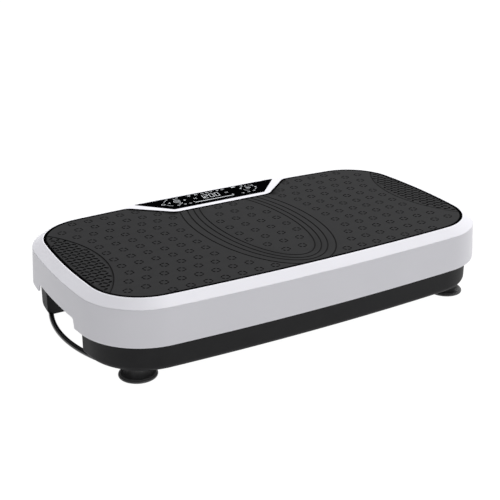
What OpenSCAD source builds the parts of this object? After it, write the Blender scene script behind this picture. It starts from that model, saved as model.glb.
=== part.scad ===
// Vibration plate: a low rocking platform for standing exercises.
// A motor and belt turn a crankshaft; two connecting rods rock the platform about a shaft
// that runs front to back under its middle. The base stands on four suction feet.
// Frame: origin on the floor under the centre, X along the length, Y to the back, Z up.

/* [Outline] */
// Length at the shell's crease, end to end
plate_l = 670; // [660:1:680]
// Depth at the shell's crease, front to back
plate_w = 370.8; // [366:0.2:376]
// Radius of the long sides, seen from above
side_r = 3890; // [3600:10:4200]
// Radius of the short ends, seen from above
end_r = 910; // [860:10:980]
// Radius of the corners, seen from above
corner_r = 97.7; // [92:0.1:104]

/* [Shell] */
// Height of the standing surface above the floor
plate_h = 124; // [124:0.5:127]
// Lower edge of the shell skirt above the floor
skirt_z = 59.7; // [58:0.1:62]
// Spread of the skirt's lower edge beyond the crease
skirt_flare = 3.3; // [3:0.1:3.5]
// Height of the chamfer round the top
chamfer_h = 10.5; // [9:0.5:12]
// Width of the chamfer round the top, seen from above
chamfer_w = 15.8; // [14:0.1:17]
// Wall of the shell
shell_t = 3; // [2.6:0.1:3.2]
// Half width of the finger notch in each end of the skirt
notch_half_w = 69; // [66:1:72]
// Height of the finger notch above the skirt's edge
notch_h = 14.3; // [12:0.1:16]

/* [Standing mat] */
// Thickness of the rubber mat
mat_t = 2.5; // [2.2:0.1:2.6]
// White rim between the chamfer and the mat
mat_rim = 1.3; // [1:0.1:2]

/* [Display] */
// Half width of the display along its back edge
display_back_half = 132.5; // [131:0.5:134]
// Half width of the display along its front edge
display_front_half = 84; // [82:0.5:86]
// Back edge of the display, from the centre line
display_back_y = 174.5; // [174:0.1:175]
// Front edge of the display, from the centre line
display_front_y = 122.5; // [122:0.5:125]

/* [Base] */
// Underside of the tub above the floor
tub_z = 17.5; // [17:0.1:18]
// Top edge of the tub's walls
tub_top_z = 76; // [72:1:78]
// Gap from the shell's crease to the tub's outside, seen from above
tub_inset = 8; // [7:0.1:9]
// Wall of the tub
tub_t = 3; // [2.5:0.1:3.5]
// Radius of the tub's lower edge
tub_edge_r = 8; // [7:0.5:9]
// Half width of the finger recess in each end
recess_half_w = 69; // [67:1:70]
// Distance of the recess's inner wall from the centre
recess_x = 273; // [271:1:276]

/* [Feet and handles] */
// Distance of the feet from the centre, along the length
foot_x = 270.5; // [268:0.5:272]
// Distance of the feet from the centre, front to back
foot_y = 130.5; // [128:0.5:132]
// Radius of a foot on the floor
foot_r = 27.3; // [25:0.1:29]
// Radius of a foot's neck
foot_neck_r = 13; // [12:0.1:14]
// Thickness of each handle bar
handle_d = 7.8; // [7:0.1:8]
// Radius that each handle bar is bent to
handle_bend_r = 240; // [235:1:250]
// Furthest reach of each handle bar from the centre
handle_reach = 329.5; // [329:0.1:330]

/* [Mechanism] */
// Height of the shaft that the platform rocks on
pivot_z = 64; // [64:0.5:66]
// Distance of the crankshaft from the centre
crank_x = 125; // [124:0.5:127]
// Height of the crankshaft and motor shaft
crank_z = 56; // [55.5:0.1:56]
// Throw of the eccentrics
throw = 2.5; // [2:0.1:2.5]
// Height of the link pins
link_z = 94; // [94:0.1:94.4]
// Distance of the two connecting rods from the centre line
rod_y = 62; // [61.5:0.1:62.5]
// Distance of the motor shaft from the centre
motor_x = 205; // [200:1:208]
// Radius of the belt's track on the large pulley
big_pulley_r = 27; // [24:0.5:27]
// Radius of the belt's track on the motor pulley
small_pulley_r = 12; // [10:0.5:13]
// Distance of the belt from the centre line
belt_y = 86; // [86:0.5:88]

/* [Hidden] */
$fn = 64;

// Clearances and small shared sizes
running = 0.05;      // radial clearance of a turning fit
seat = 0.02;         // radial clearance of a fixed fit
gap = 0.3;           // clearance between pieces that never touch
crease_z = plate_h - chamfer_h;
pocket_z = plate_h - mat_t;
shell_roof_z = pocket_z - shell_t;
floor_z = tub_z + tub_t;
plate_t = 2.5;
deck_z = floor_z + plate_t;

// Colours
white_plastic = "#e6e8ea";
black_plastic = "#2a2a2c";
soft_black = "#3a3a3b";
gloss_black = "#0c0c0e";
zinc = "#a9adb1";
dark_steel = "#4b4e52";
bronze = "#a97b4a";
board_green = "#1d5a3a";

// ---------- outline ----------

function arc(c, r, from, to, steps) =
    [for (i = [0 : steps]) let (t = from + (to - from) * i / steps)
        [c.x + r * cos(t), c.y + r * sin(t)]];

function tail(list) = [for (i = [1 : len(list) - 1]) list[i]];
function reversed(list) = [for (i = [len(list) - 1 : -1 : 0]) list[i]];

// Centres of the back side's arc, the right end's arc and the back right corner's arc
side_c = [0, plate_w / 2 - side_r];
end_c = [plate_l / 2 - end_r, 0];
centre_gap = norm(end_c - side_c);
to_end = (end_c - side_c) / centre_gap;
side_reach = side_r - corner_r;
end_reach = end_r - corner_r;
along = (centre_gap ^ 2 + side_reach ^ 2 - end_reach ^ 2) / (2 * centre_gap);
across = sqrt(side_reach ^ 2 - along ^ 2);
corner_c = side_c + along * to_end + across * [to_end.y, -to_end.x];
end_turn = atan2(corner_c.y - end_c.y, corner_c.x - end_c.x);
side_turn = atan2(corner_c.y - side_c.y, corner_c.x - side_c.x);

// The back right quarter of the outline, moved inward by d
function quarter(d) = concat(
    arc(end_c, end_r - d, 0, end_turn, 4),
    tail(arc(corner_c, corner_r - d, end_turn, side_turn, 10)),
    tail(arc(side_c, side_r - d, side_turn, 90, 5)));

// The whole outline, moved inward by d: a rectangle with bowed sides and round corners
function outline(d) = let (
    q1 = quarter(d),
    q2 = tail([for (p = reversed(q1)) [-p.x, p.y]]),
    q3 = tail([for (p = q1) [-p.x, -p.y]]),
    q4 = tail([for (p = reversed(q1)) [p.x, -p.y]]))
    concat(q1, q2, q3, [for (i = [0 : len(q4) - 2]) q4[i]]);

// An arc of radius r in place of the corner b, between the points a and c
function fillet(a, b, c, r, steps = 6) = let (
    u = (a - b) / norm(a - b), v = (c - b) / norm(c - b),
    half = acos(u * v) / 2,
    mid = (u + v) / norm(u + v),
    centre = b + mid * r / sin(half),
    start = b + u * r / tan(half) - centre,
    finish = b + v * r / tan(half) - centre,
    t0 = atan2(start.y, start.x),
    turn = atan2(start.x * finish.y - start.y * finish.x, start * finish))
    arc(centre, r, t0, t0 + turn, steps);

// A polygon with all its corners rounded
function rounded(pts, r, steps = 6) = let (n = len(pts))
    [for (i = [0 : n - 1]) each fillet(pts[(i + n - 1) % n], pts[i], pts[(i + 1) % n], r, steps)];

// A solid skin over a row of rings of points, each turning left about the way the row runs
module skin(rings) {
    n = len(rings[0]);
    last = len(rings) - 1;
    polyhedron(
        points = [for (ring = rings) each ring],
        faces = concat([[for (i = [0 : n - 1]) i]], [[for (i = [n - 1 : -1 : 0]) last * n + i]],
            [for (k = [0 : last - 1], i = [0 : n - 1]) let (j = (i + 1) % n)
                [k * n + i, (k + 1) * n + i, (k + 1) * n + j, k * n + j]]));
}

// A solid through a stack of outlines: each level is [height, outline]
module loft(levels) {
    skin([for (level = levels) [for (p = level[1]) [p.x, p.y, level[0]]]]);
}

// Thin-walled box section, its walls all t thick and its ends open along Y or X
module tube_y(x, y0, y1, z, w, h, t) {
    difference() {
        translate([x - w / 2, y0, z]) cube([w, y1 - y0, h]);
        translate([x - w / 2 + t, y0 - 1, z + t]) cube([w - 2 * t, y1 - y0 + 2, h - 2 * t]);
    }
}

// A cylinder along Y from y0 to y1
module rod(x, z, r, y0, y1) {
    translate([x, y0, z]) rotate([-90, 0, 0]) cylinder(r = r, h = y1 - y0);
}

// A ring along Y
module ring(x, z, r, bore, y0, y1) {
    difference() {
        rod(x, z, r, y0, y1);
        rod(x, z, bore, y0 - 1, y1 + 1);
    }
}

// A cap screw with its head up at z, on a shank that reaches down to z - l
module cap_screw(x, y, z, r, l) {
    translate([x, y, z - l]) cylinder(r = r, h = l);
    difference() {
        translate([x, y, z]) cylinder(r = 1.75 * r, h = 1.6 * r);
        translate([x, y, z + 0.7 * r]) cylinder(r = r, h = r, $fn = 6);
    }
}

// ---------- base ----------

// Seen from above: the finger recess at the left end, its walls moved out by grow
function recess(grow) = rounded([
    [-plate_l, -recess_half_w - grow], [-recess_x + grow, -recess_half_w - grow],
    [-recess_x + grow, recess_half_w + grow], [-plate_l, recess_half_w + grow]], 10 + grow);

module both_recesses(grow) {
    for (side = [0, 1]) mirror([side, 0, 0])
        translate([0, 0, -1]) linear_extrude(plate_h) polygon(recess(grow));
}

// A tray with rounded lower edges, its outline moved inward by d
module tray(d, z, r, top) {
    loft(concat(
        [for (i = [0 : 4]) let (t = 90 * i / 4) [z + r * (1 - cos(t)), outline(d + r * (1 - sin(t)))]],
        [[top, outline(d)]]));
}

foot_spots = [for (x = [-foot_x, foot_x], y = [-foot_y, foot_y]) [x, y]];
foot_boss_r = 16;
foot_boss_z = 26;
stud_r = 4;

// Places of the screws that hold the base plate to the tub
plate_half_l = 252;
plate_half_w = 146;
plate_screw_spots = [for (x = [-240, -80, 80, 240], y = [-136, 136]) [x, y]];

// Cutouts for the power inlet and the switch in the tub's back wall
inlet_x = -140;
switch_x = -95;
socket_z = 44;
panel_y = plate_w / 2 - tub_inset + 0.2;
inlet_cut = [27, 20];
switch_cut = [21, 14];

module wall_cut(x, size) {
    translate([x - size.x / 2, 140, socket_z - size.y / 2]) cube([size.x, 60, size.y]);
}

// A solid block in the tub's lower corner, where the end of a handle bar is seated
lug_size = [38, 28, 20];

module handle_lug() {
    intersection() {
        tray(tub_inset, tub_z, tub_edge_r, tub_top_z);
        translate([-plate_l / 2, recess_half_w, tub_z]) cube(lug_size);
    }
}

module base_tub() {
    color(black_plastic) difference() {
        union() {
            difference() {
                tray(tub_inset, tub_z, tub_edge_r, tub_top_z);
                both_recesses(0);
                difference() {
                    tray(tub_inset + tub_t, floor_z, tub_edge_r - tub_t, tub_top_z + 1);
                    both_recesses(tub_t);
                }
            }
            for (p = foot_spots) translate([p.x, p.y, floor_z - 1])
                cylinder(r = foot_boss_r, h = foot_boss_z - floor_z + 1);
            for (x = [0, 1], y = [0, 1]) mirror([x, 0, 0]) mirror([0, y, 0]) handle_lug();
            translate([inlet_x - 22, panel_y - 7, socket_z - 15]) cube([90, 7, 30]);
        }
        for (p = foot_spots) translate([p.x, p.y, 0]) cylinder(r = stud_r + 0.2, h = plate_h);
        for (p = plate_screw_spots) translate([p.x, p.y, 0]) cylinder(r = 2.2, h = plate_h);
        wall_cut(inlet_x, inlet_cut);
        wall_cut(switch_x, switch_cut);
        for (side = [0, 1]) mirror([side, 0, 0]) handle_bar(handle_d / 2 + seat);
    }
}

stand_y = 120;
stand_t = 8;
stand_foot_t = 5;
block_y = 40;
block_t = 14;
block_foot_t = 7;
cradle_foot_t = 2.4;
stand_bolt_spots = [for (x = [-26, 26], y = [-stand_y, stand_y]) [x, y]];
block_bolt_spots = [for (x = [crank_x - 28, crank_x + 28], y = [-block_y, block_y]) [x, y]];
motor_front_y = -50;
motor_back_y = 52;
cradle_ys = [-34, 34];
cradle_bolt_spots = [for (x = [motor_x - 30, motor_x + 30], y = cradle_ys) [x, y]];

module base_plate() {
    color(zinc) difference() {
        translate([0, 0, floor_z]) linear_extrude(plate_t)
            polygon(rounded([[-plate_half_l, -plate_half_w], [plate_half_l, -plate_half_w],
                [plate_half_l, plate_half_w], [-plate_half_l, plate_half_w]], 12));
        for (p = concat(plate_screw_spots, stand_bolt_spots, block_bolt_spots, cradle_bolt_spots))
            translate([p.x, p.y, 0]) cylinder(r = 2.2, h = plate_h);
    }
}

module plate_screws() {
    color(zinc) for (p = plate_screw_spots)
        cap_screw(p.x, p.y, deck_z, 2, deck_z - tub_z);
}

// A suction foot: a flat lip on the floor, a cup under it and a waisted neck above
module foot(x, y) {
    waist_h = tub_z - 5;
    flare = [for (i = [0 : 8]) let (t = 90 * i / 8)
        [foot_neck_r + (foot_r - 1.5 - foot_neck_r) * (1 - sin(t)), 4.5 + waist_h * (1 - cos(t))]];
    color(soft_black) translate([x, y, 0]) difference() {
        rotate_extrude() polygon(concat(
            [[0, 5.5], [8, 5.5], [foot_r - 5, 0], [foot_r - 0.8, 0], [foot_r, 1], [foot_r - 0.5, 3.2]],
            flare, [[foot_neck_r, tub_z], [0, tub_z]]));
        translate([0, 0, 9]) cylinder(r = stud_r + seat, h = plate_h);
    }
}

module foot_front_left() { foot(-foot_x, -foot_y); }
module foot_front_right() { foot(foot_x, -foot_y); }
module foot_back_left() { foot(-foot_x, foot_y); }
module foot_back_right() { foot(foot_x, foot_y); }

module foot_studs() {
    color(zinc) for (p = foot_spots) translate([p.x, p.y, 9]) cylinder(r = stud_r, h = 27);
}

module foot_nuts() {
    color(zinc) for (p = foot_spots) translate([p.x, p.y, foot_boss_z]) difference() {
        union() {
            cylinder(r = 8.5, h = 1.6);
            translate([0, 0, 1.6]) cylinder(r = 7.5, h = 6.5, $fn = 6);
        }
        translate([0, 0, -1]) cylinder(r = stud_r + seat, h = 12);
    }
}

// The bar bends outward across the recess, and a pin near each end holds it in the tub's corner
handle_z = tub_z - 0.5;
handle_pin_h = 14;
handle_past_wall = 17;   // from the recess's wall to the bar's end
pin_past_wall = 12;      // from the recess's wall to the pin
handle_pin_turn = asin((recess_half_w + pin_past_wall) / handle_bend_r);
handle_half_turn = asin((recess_half_w + handle_past_wall) / handle_bend_r);

module handle_bar(r) {
    translate([handle_bend_r - handle_reach, 0, handle_z]) {
        rotate([0, 0, 180 - handle_half_turn])
            rotate_extrude(angle = 2 * handle_half_turn, $fn = 240)
                translate([handle_bend_r, 0]) circle(r = r, $fn = 64);
        for (s = [-1, 1]) rotate([0, 0, 180 + s * handle_pin_turn])
            translate([handle_bend_r, 0, 0]) cylinder(r = r - 0.7, h = handle_pin_h);
    }
}

module handle_left() { color(gloss_black) handle_bar(handle_d / 2); }
module handle_right() { color(gloss_black) mirror([1, 0, 0]) handle_bar(handle_d / 2); }

shaft_r = 8;

// A foot, a web and a round eye that holds the pivot shaft
module pivot_stand(y) {
    color(dark_steel) difference() {
        union() {
            translate([-36, y - 12, deck_z]) cube([72, 24, stand_foot_t]);
            translate([0, y + stand_t / 2, 0]) rotate([90, 0, 0]) linear_extrude(stand_t)
                polygon([[-20, deck_z + 4], [20, deck_z + 4], [14, pivot_z], [-14, pivot_z]]);
            rod(0, pivot_z, 14, y - stand_t / 2, y + stand_t / 2);
        }
        rod(0, pivot_z, shaft_r + seat, y - 20, y + 20);
        for (x = [-26, 26]) translate([x, y, 0]) cylinder(r = 2.2, h = 40);
    }
}

module pivot_stand_front() { pivot_stand(-stand_y); }
module pivot_stand_back() { pivot_stand(stand_y); }

module pivot_shaft() {
    color(zinc) difference() {
        rod(0, pivot_z, shaft_r, -stand_y - 10, stand_y + 10);
        for (y = [-stand_y - 7, stand_y + 6]) ring(0, pivot_z, shaft_r + 1, shaft_r - 1, y, y + 1);
    }
}

// Bolts of the pivot stands, the bearing blocks and the motor cradle
module deck_bolts() {
    color(zinc) {
        for (p = stand_bolt_spots) cap_screw(p.x, p.y, deck_z + stand_foot_t, 2, stand_foot_t + plate_t);
        for (p = block_bolt_spots) cap_screw(p.x, p.y, deck_z + block_foot_t, 2, block_foot_t + plate_t);
        for (p = cradle_bolt_spots) cap_screw(p.x, p.y, deck_z + cradle_foot_t, 2, cradle_foot_t + plate_t);
    }
}

// ---------- crank drive on the base ----------

bearing_r = 15;

module bearing_block(y) {
    color(dark_steel) difference() {
        union() {
            translate([crank_x - 36, y - block_t / 2, deck_z]) cube([72, block_t, block_foot_t]);
            translate([crank_x - 19, y - block_t / 2, deck_z]) cube([38, block_t, crank_z - deck_z]);
            rod(crank_x, crank_z, 19, y - block_t / 2, y + block_t / 2);
        }
        rod(crank_x, crank_z, bearing_r + seat, y - 20, y + 20);
        for (x = [crank_x - 28, crank_x + 28]) translate([x, y, 0]) cylinder(r = 2.2, h = 40);
    }
}

module bearing_block_front() { bearing_block(-block_y); }
module bearing_block_back() { bearing_block(block_y); }

// Deep-groove ball bearing: two grooved races and seven balls
module ball_bearing(y) {
    ball_r = 2.2;
    track_r = (bearing_r + shaft_r) / 2;
    color(zinc) {
        difference() {
            ring(crank_x, crank_z, bearing_r, track_r + 1.4, y - 4.5, y + 4.5);
            bearing_track(y, track_r, ball_r + seat);
        }
        difference() {
            ring(crank_x, crank_z, track_r - 1.4, shaft_r + running, y - 4.5, y + 4.5);
            bearing_track(y, track_r, ball_r + seat);
        }
        for (i = [0 : 6]) translate([crank_x, y, crank_z]) rotate([0, i * 360 / 7, 0])
            translate([track_r, 0, 0]) sphere(r = ball_r, $fn = 32);
    }
}

module bearing_track(y, track_r, r) {
    translate([crank_x, y, crank_z]) rotate([90, 0, 0])
        rotate_extrude() translate([track_r, 0]) circle(r = r);
}

module crank_bearing_front() { ball_bearing(-block_y); }
module crank_bearing_back() { ball_bearing(block_y); }

motor_r = 30;
motor_wall = 2;
motor_shaft_r = 5;
magnet_t = 6;

module motor_can() {
    color(dark_steel) ring(motor_x, crank_z, motor_r, motor_r - motor_wall, motor_front_y, motor_back_y);
}

// Two curved magnets inside the can, with a gap above and below
module motor_magnets() {
    outer = motor_r - motor_wall - seat;
    color(soft_black) difference() {
        ring(motor_x, crank_z, outer, outer - magnet_t, -36, 38);
        translate([motor_x - 6, -60, 0]) cube([12, 120, plate_h]);
    }
}

module motor_cap(y0, y1, spigot_y0, spigot_y1) {
    color(zinc) difference() {
        union() {
            rod(motor_x, crank_z, motor_r, y0, y1);
            rod(motor_x, crank_z, motor_r - motor_wall - seat, spigot_y0, spigot_y1);
        }
        rod(motor_x, crank_z, motor_shaft_r + running, y0 - 20, y1 + 20);
        for (a = [45 : 90 : 315]) translate([22 * cos(a), 0, 22 * sin(a)])
            rod(motor_x, crank_z, 2.2, y0 - 20, y1 + 20);
    }
}

module motor_cap_front() { motor_cap(motor_front_y - 8, motor_front_y, motor_front_y, motor_front_y + 4); }
module motor_cap_back() { motor_cap(motor_back_y, motor_back_y + 8, motor_back_y - 4, motor_back_y); }

// Two saddles under the can, each cut to its radius
module motor_cradle() {
    color(zinc) for (y = cradle_ys) difference() {
        union() {
            translate([motor_x - 24, y - 4, deck_z]) cube([48, 8, crank_z - 14 - deck_z]);
            translate([motor_x - 38, y - 8, deck_z]) cube([76, 16, cradle_foot_t]);
        }
        rod(motor_x, crank_z, motor_r + seat, y - 20, y + 20);
        for (x = [motor_x - 30, motor_x + 30]) translate([x, y, 0]) cylinder(r = 2.2, h = 40);
    }
}

module motor_bolts() {
    color(zinc) for (a = [45 : 90 : 315]) translate([22 * cos(a), 0, 22 * sin(a)]) {
        rod(motor_x, crank_z, 3.6, motor_front_y - 11, motor_front_y - 8);
        rod(motor_x, crank_z, 2, motor_front_y - 8, motor_front_y + 3);
        rod(motor_x, crank_z, 3.6, motor_back_y + 8, motor_back_y + 11);
        rod(motor_x, crank_z, 2, motor_back_y - 3, motor_back_y + 8);
    }
}

// Side view of the belt's loop round both pulleys, d outside their tracks
function belt_loop(d) = let (
    span = motor_x - crank_x,
    lean = acos((big_pulley_r - small_pulley_r) / span))
    concat(arc([crank_x, crank_z], big_pulley_r + d, lean, 360 - lean, 48),
        arc([motor_x, crank_z], small_pulley_r + d, -lean, lean, 24));

belt_w = 10;
belt_t = 2;

module drive_belt() {
    color(soft_black) translate([0, belt_y + belt_w / 2, 0]) rotate([90, 0, 0])
        linear_extrude(belt_w) difference() {
            polygon(belt_loop(gap + belt_t));
            polygon(belt_loop(gap));
        }
}

// Rubber stops on posts, one under each end of the frame's end rails
stop_x = 238;
stop_y = 116;
stop_top = 99;

module bump_stops() {
    color(soft_black) for (x = [-stop_x, stop_x], y = [-stop_y, stop_y]) translate([x, y, deck_z]) {
        cylinder(r = 9, h = 58 - deck_z);
        translate([0, 0, 58 - deck_z]) cylinder(r1 = 12, r2 = 9, h = stop_top - 58);
    }
}

// ---------- electronics on the base ----------

board_x = [-232, -92];
board_half_w = 55;
board_z = 34;
post_spots = [for (x = [board_x[0] + 6, board_x[1] - 6], y = [-board_half_w + 6, board_half_w - 6]) [x, y]];

module control_board() {
    color(board_green) difference() {
        translate([board_x[0], -board_half_w, board_z])
            cube([board_x[1] - board_x[0], 2 * board_half_w, 1.6]);
        for (p = post_spots) translate([p.x, p.y, 0]) cylinder(r = 1.7, h = plate_h);
    }
}

module board_posts() {
    color(zinc) for (p = post_spots) {
        translate([p.x, p.y, deck_z]) cylinder(r = 3.5, h = board_z - deck_z);
        translate([p.x, p.y, board_z]) cylinder(r = 1.5, h = 1.6);
        translate([p.x, p.y, board_z + 1.6]) cylinder(r = 3, h = 2);
    }
}

module heat_sink() {
    color(zinc) translate([-220, -30, board_z + 1.6]) {
        cube([44, 60, 4]);
        for (i = [0 : 7]) translate([i * 6, 0, 4]) cube([2, 60, 24]);
    }
}

module capacitors() {
    color(black_plastic) for (y = [-14, 14]) translate([-150, y, board_z + 1.6]) cylinder(r = 12, h = 34);
}

lead_ys = [-48, -40];

module terminal_block() {
    color(board_green) difference() {
        translate([-120, -52, board_z + 1.6]) cube([16, 16, 14]);
        for (y = lead_ys) translate([-110, y, board_z + 9]) rotate([0, 90, 0]) cylinder(r = 1.6, h = 20);
        for (y = lead_ys) translate([-113, y, board_z + 12]) cylinder(r = 2, h = 5);
    }
}

// A round wire through a list of points, mitred at each bend
function unit(v) = v / norm(v);
function first_ring(at, way, r, sides) = let (
    u = unit(cross(way, abs(way.z) < 0.9 ? [0, 0, 1] : [1, 0, 0])), v = cross(way, u))
    [for (i = [0 : sides - 1]) at + r * (cos(i * 360 / sides) * u + sin(i * 360 / sides) * v)];
function wire_rings(points, i, ring) = let (
    way = unit(points[i + 1] - points[i]),
    next = points[i + 1],
    normal = i + 2 < len(points) ? way + unit(points[i + 2] - next) : way,
    moved = [for (p = ring) p + way * ((next - p) * normal) / (way * normal)])
    concat([ring], i + 2 < len(points) ? wire_rings(points, i + 1, moved) : [moved]);

module wire(points, r, sides = 14) {
    skin(wire_rings(points, 0, first_ring(points[0], unit(points[1] - points[0]), r, sides)));
}

module motor_leads() {
    color("#8c1f1f") for (i = [0, 1]) let (y = lead_ys[i], dy = 6 * i)
        wire([[-110, y, board_z + 9], [-86 + dy, y, board_z + 9], [-74 + dy, -92 + dy, 30],
            [160, -92 + dy, 30], [190 + 3 * dy, -74, 50], [190 + 3 * dy, motor_front_y - 8, 50]], 1.3);
}

inlet_depth = 22;

// A three-pin appliance inlet, without any marking
module power_inlet() {
    body = [inlet_cut.x - 0.4, inlet_cut.y - 0.4];
    color(gloss_black) difference() {
        union() {
            translate([inlet_x - 16, panel_y, socket_z - 12.5]) cube([32, 2, 25]);
            translate([inlet_x - body.x / 2, panel_y - inlet_depth, socket_z - body.y / 2])
                cube([body.x, inlet_depth, body.y]);
        }
        translate([inlet_x, panel_y + 3, socket_z]) rotate([90, 0, 0]) linear_extrude(20)
            polygon([[-11.5, -8], [11.5, -8], [11.5, 3], [6.5, 8], [-6.5, 8], [-11.5, 3]]);
        for (p = pin_spots) translate([p.x - 2 - seat, panel_y - 30, p.y - 1 - seat])
            cube([4 + 2 * seat, 40, 2 + 2 * seat]);
    }
}

pin_spots = [[inlet_x - 7, socket_z - 2], [inlet_x, socket_z + 2.5], [inlet_x + 7, socket_z - 2]];

module inlet_pins() {
    color(bronze) for (p = pin_spots) translate([p.x - 2, panel_y - 30, p.y - 1]) cube([4, 27, 2]);
}

rocker_y = panel_y - 3.6;

module switch_housing() {
    body = [switch_cut.x - 0.4, switch_cut.y - 0.4];
    color(gloss_black) difference() {
        union() {
            translate([switch_x - 12.5, panel_y, socket_z - 9]) cube([25, 1.6, 18]);
            translate([switch_x - body.x / 2, panel_y - 18, socket_z - body.y / 2])
                cube([body.x, 18, body.y]);
        }
        translate([switch_x - 9.2, panel_y - 11, socket_z - 5.4]) cube([18.4, 20, 10.8]);
        translate([switch_x, rocker_y, socket_z - 6.3]) cylinder(r = 1.2 + running, h = 12.6);
    }
}

// The switch's rocker stands at its off position, tipped by half its travel
rocker_tilt = 8;

module power_rocker() {
    color("#7d1013") translate([switch_x, rocker_y, socket_z]) rotate([0, 0, -rocker_tilt]) {
        translate([0, 0, -5]) linear_extrude(10)
            polygon([[-3, -2.5], [3, -2.5], [8, 2], [8, 5.2], [0, 4], [-8, 5.2], [-8, 2]]);
        translate([0, 0, -6.2]) cylinder(r = 1.2, h = 12.4);
    }
}

// ---------- platform ----------

// The flat behind the display reaches further back than the mat does
pod_inset = 7.4;
pod_half = 136;
pod_foot_half = 154;

function chord_y(d, x) = side_c.y + sqrt((side_r - d) ^ 2 - x ^ 2);

function pod(d, half) = concat([[half, 100]],
    [for (i = [5 : -1 : -5]) [half * i / 5, chord_y(d, half * i / 5)]], [[-half, 100]]);

module shell_outside() {
    loft([[skirt_z, outline(-skirt_flare)], [crease_z, outline(0)], [plate_h, outline(chamfer_w)]]);
    loft([[crease_z - 1, pod(0.5, pod_foot_half)], [plate_h, pod(pod_inset, pod_half)]]);
}

module shell_inside() {
    foot = outline(shell_t - skirt_flare);
    loft([[skirt_z - 5, foot], [skirt_z, foot], [crease_z - 2, outline(shell_t)],
        [shell_roof_z, outline(shell_t + 11)]]);
}

// Seen from above: the mat's outline, moved inward by d, with its notch round the display
mat_notch_half = 147;
mat_notch_front = [87, 112];

function mat_outline(d) = let (
    inset = chamfer_w + mat_rim + d,
    shape = outline(inset),
    edge = [mat_notch_half, chord_y(inset, mat_notch_half)],
    front = [mat_notch_front.x, mat_notch_front.y - d],
    before = [for (p = shape) if (p.y >= 0 && p.x > edge.x + 25) p],
    after = [for (p = shape) if (p.y < 0 || p.x < -edge.x - 25) p],
    flip = [for (p = [edge, front]) [-p.x, p.y]])
    concat(before,
        fillet(before[len(before) - 1], edge, front, 20),
        fillet(edge, front, flip[1], 24),
        fillet(front, flip[1], flip[0], 24),
        fillet(flip[1], flip[0], after[0], 20),
        after);

// Seen from above: the display, its edges moved inward by d
function display_shape(d) = rounded([
    [-display_front_half + d, display_front_y + d], [display_front_half - d, display_front_y + d],
    [display_back_half - 1.6 * d, display_back_y - d],
    [-display_back_half + 1.6 * d, display_back_y - d]], 1.5);

lens_t = 2;
window_ledge = 8;
shell_screw_spots = [for (x = [-250, -130, 130, 250], y = [-100, 100]) [x, y]];
screw_head_r = 4.4;

module countersunk(p, shank_r, clear) {
    translate([p.x, p.y, pocket_z - 2.4]) cylinder(r1 = shank_r + clear, r2 = screw_head_r + clear, h = 2.4);
    translate([p.x, p.y, pocket_z - 12]) cylinder(r = shank_r + clear, h = 10);
}

// Seen from the end: the finger notch, with two round upper corners
module end_notch() {
    top = skirt_z + notch_h;
    rotate([90, 0, 90]) linear_extrude(plate_l)
        polygon(concat([[-notch_half_w - 4, skirt_z - 6], [notch_half_w + 4, skirt_z - 6]],
            fillet([notch_half_w + 1, skirt_z], [notch_half_w - 2, top], [0, top], 4),
            fillet([0, top], [-notch_half_w + 2, top], [-notch_half_w - 1, skirt_z], 4)));
}

module top_shell() {
    color(white_plastic) difference() {
        shell_outside();
        shell_inside();
        translate([0, 0, pocket_z]) linear_extrude(mat_t + 1) polygon(mat_outline(0));
        translate([0, 0, plate_h - lens_t]) linear_extrude(lens_t + 1) polygon(display_shape(0));
        translate([0, 0, shell_roof_z - 5]) linear_extrude(12) polygon(display_shape(window_ledge));
        for (p = shell_screw_spots) countersunk(p, 2, 0.15);
        for (side = [0, 1]) mirror([side, 0, 0]) translate([recess_x, 0, 0]) end_notch();
    }
}

module standing_mat() {
    color(soft_black) translate([0, 0, pocket_z]) linear_extrude(mat_t) polygon(mat_outline(0.15));
}

module display_lens() {
    color(gloss_black) translate([0, 0, plate_h - lens_t]) linear_extrude(lens_t)
        polygon(display_shape(0.1));
}

display_mid_y = (display_front_y + display_back_y) / 2;
board_t = 1.6;

// The board lies against the roof and closes the window from below
module display_board() {
    color(board_green) {
        translate([0, 0, shell_roof_z - board_t]) linear_extrude(board_t)
            polygon(display_shape(window_ledge - 2.5));
        for (x = [-88, -76, -64, 64, 76, 88]) translate([x - 2, display_mid_y - 2, shell_roof_z])
            cube([4, 4, 2]);
    }
}

module digit_module() {
    color(gloss_black) translate([-22, display_mid_y - 9, shell_roof_z]) cube([44, 18, 3.2]);
}

rail_y = 100;
rail_w = 30;
rail_z = 106;
rail_h = shell_roof_z - rail_z;
rail_half_l = 285;

// Welded frame of box-section rails: two long ones, two end rails and a short middle one
module top_frame() {
    inner = rail_y - rail_w / 2;
    color(dark_steel) difference() {
        union() {
            for (y = [-rail_y, rail_y]) rotate([0, 0, 90])
                tube_y(y, -rail_half_l, rail_half_l, rail_z, rail_w, rail_h, 2);
            for (x = [-stop_x, 0, stop_x]) tube_y(x, -inner, inner, rail_z, rail_w, rail_h, 2);
            for (x = [-stop_x, stop_x], s = [-1, 1])
                translate([x - 15, s * 131 - 16, rail_z]) cube([30, 32, rail_h]);
        }
        for (p = shell_screw_spots) translate([p.x, p.y, rail_z + 5]) cylinder(r = 2 + seat, h = 20);
    }
}

// A flange under the long rail, a web, and a round eye for the pivot bush
hanger_t = 12;
hanger_bush_r = 11;

module pivot_hanger(y) {
    color(dark_steel) difference() {
        union() {
            translate([-30, y - 14, rail_z - 4]) cube([60, 28, 4]);
            translate([-13, y - hanger_t / 2, pivot_z]) cube([26, hanger_t, rail_z - pivot_z - 1]);
            rod(0, pivot_z, 16, y - hanger_t / 2, y + hanger_t / 2);
        }
        rod(0, pivot_z, hanger_bush_r + seat, y - 20, y + 20);
    }
}

module pivot_hanger_front() { pivot_hanger(-rail_y); }
module pivot_hanger_back() { pivot_hanger(rail_y); }

module pivot_bush(y) {
    color(bronze) ring(0, pivot_z, hanger_bush_r, shaft_r + running, y - 7, y + 7);
}

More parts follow.
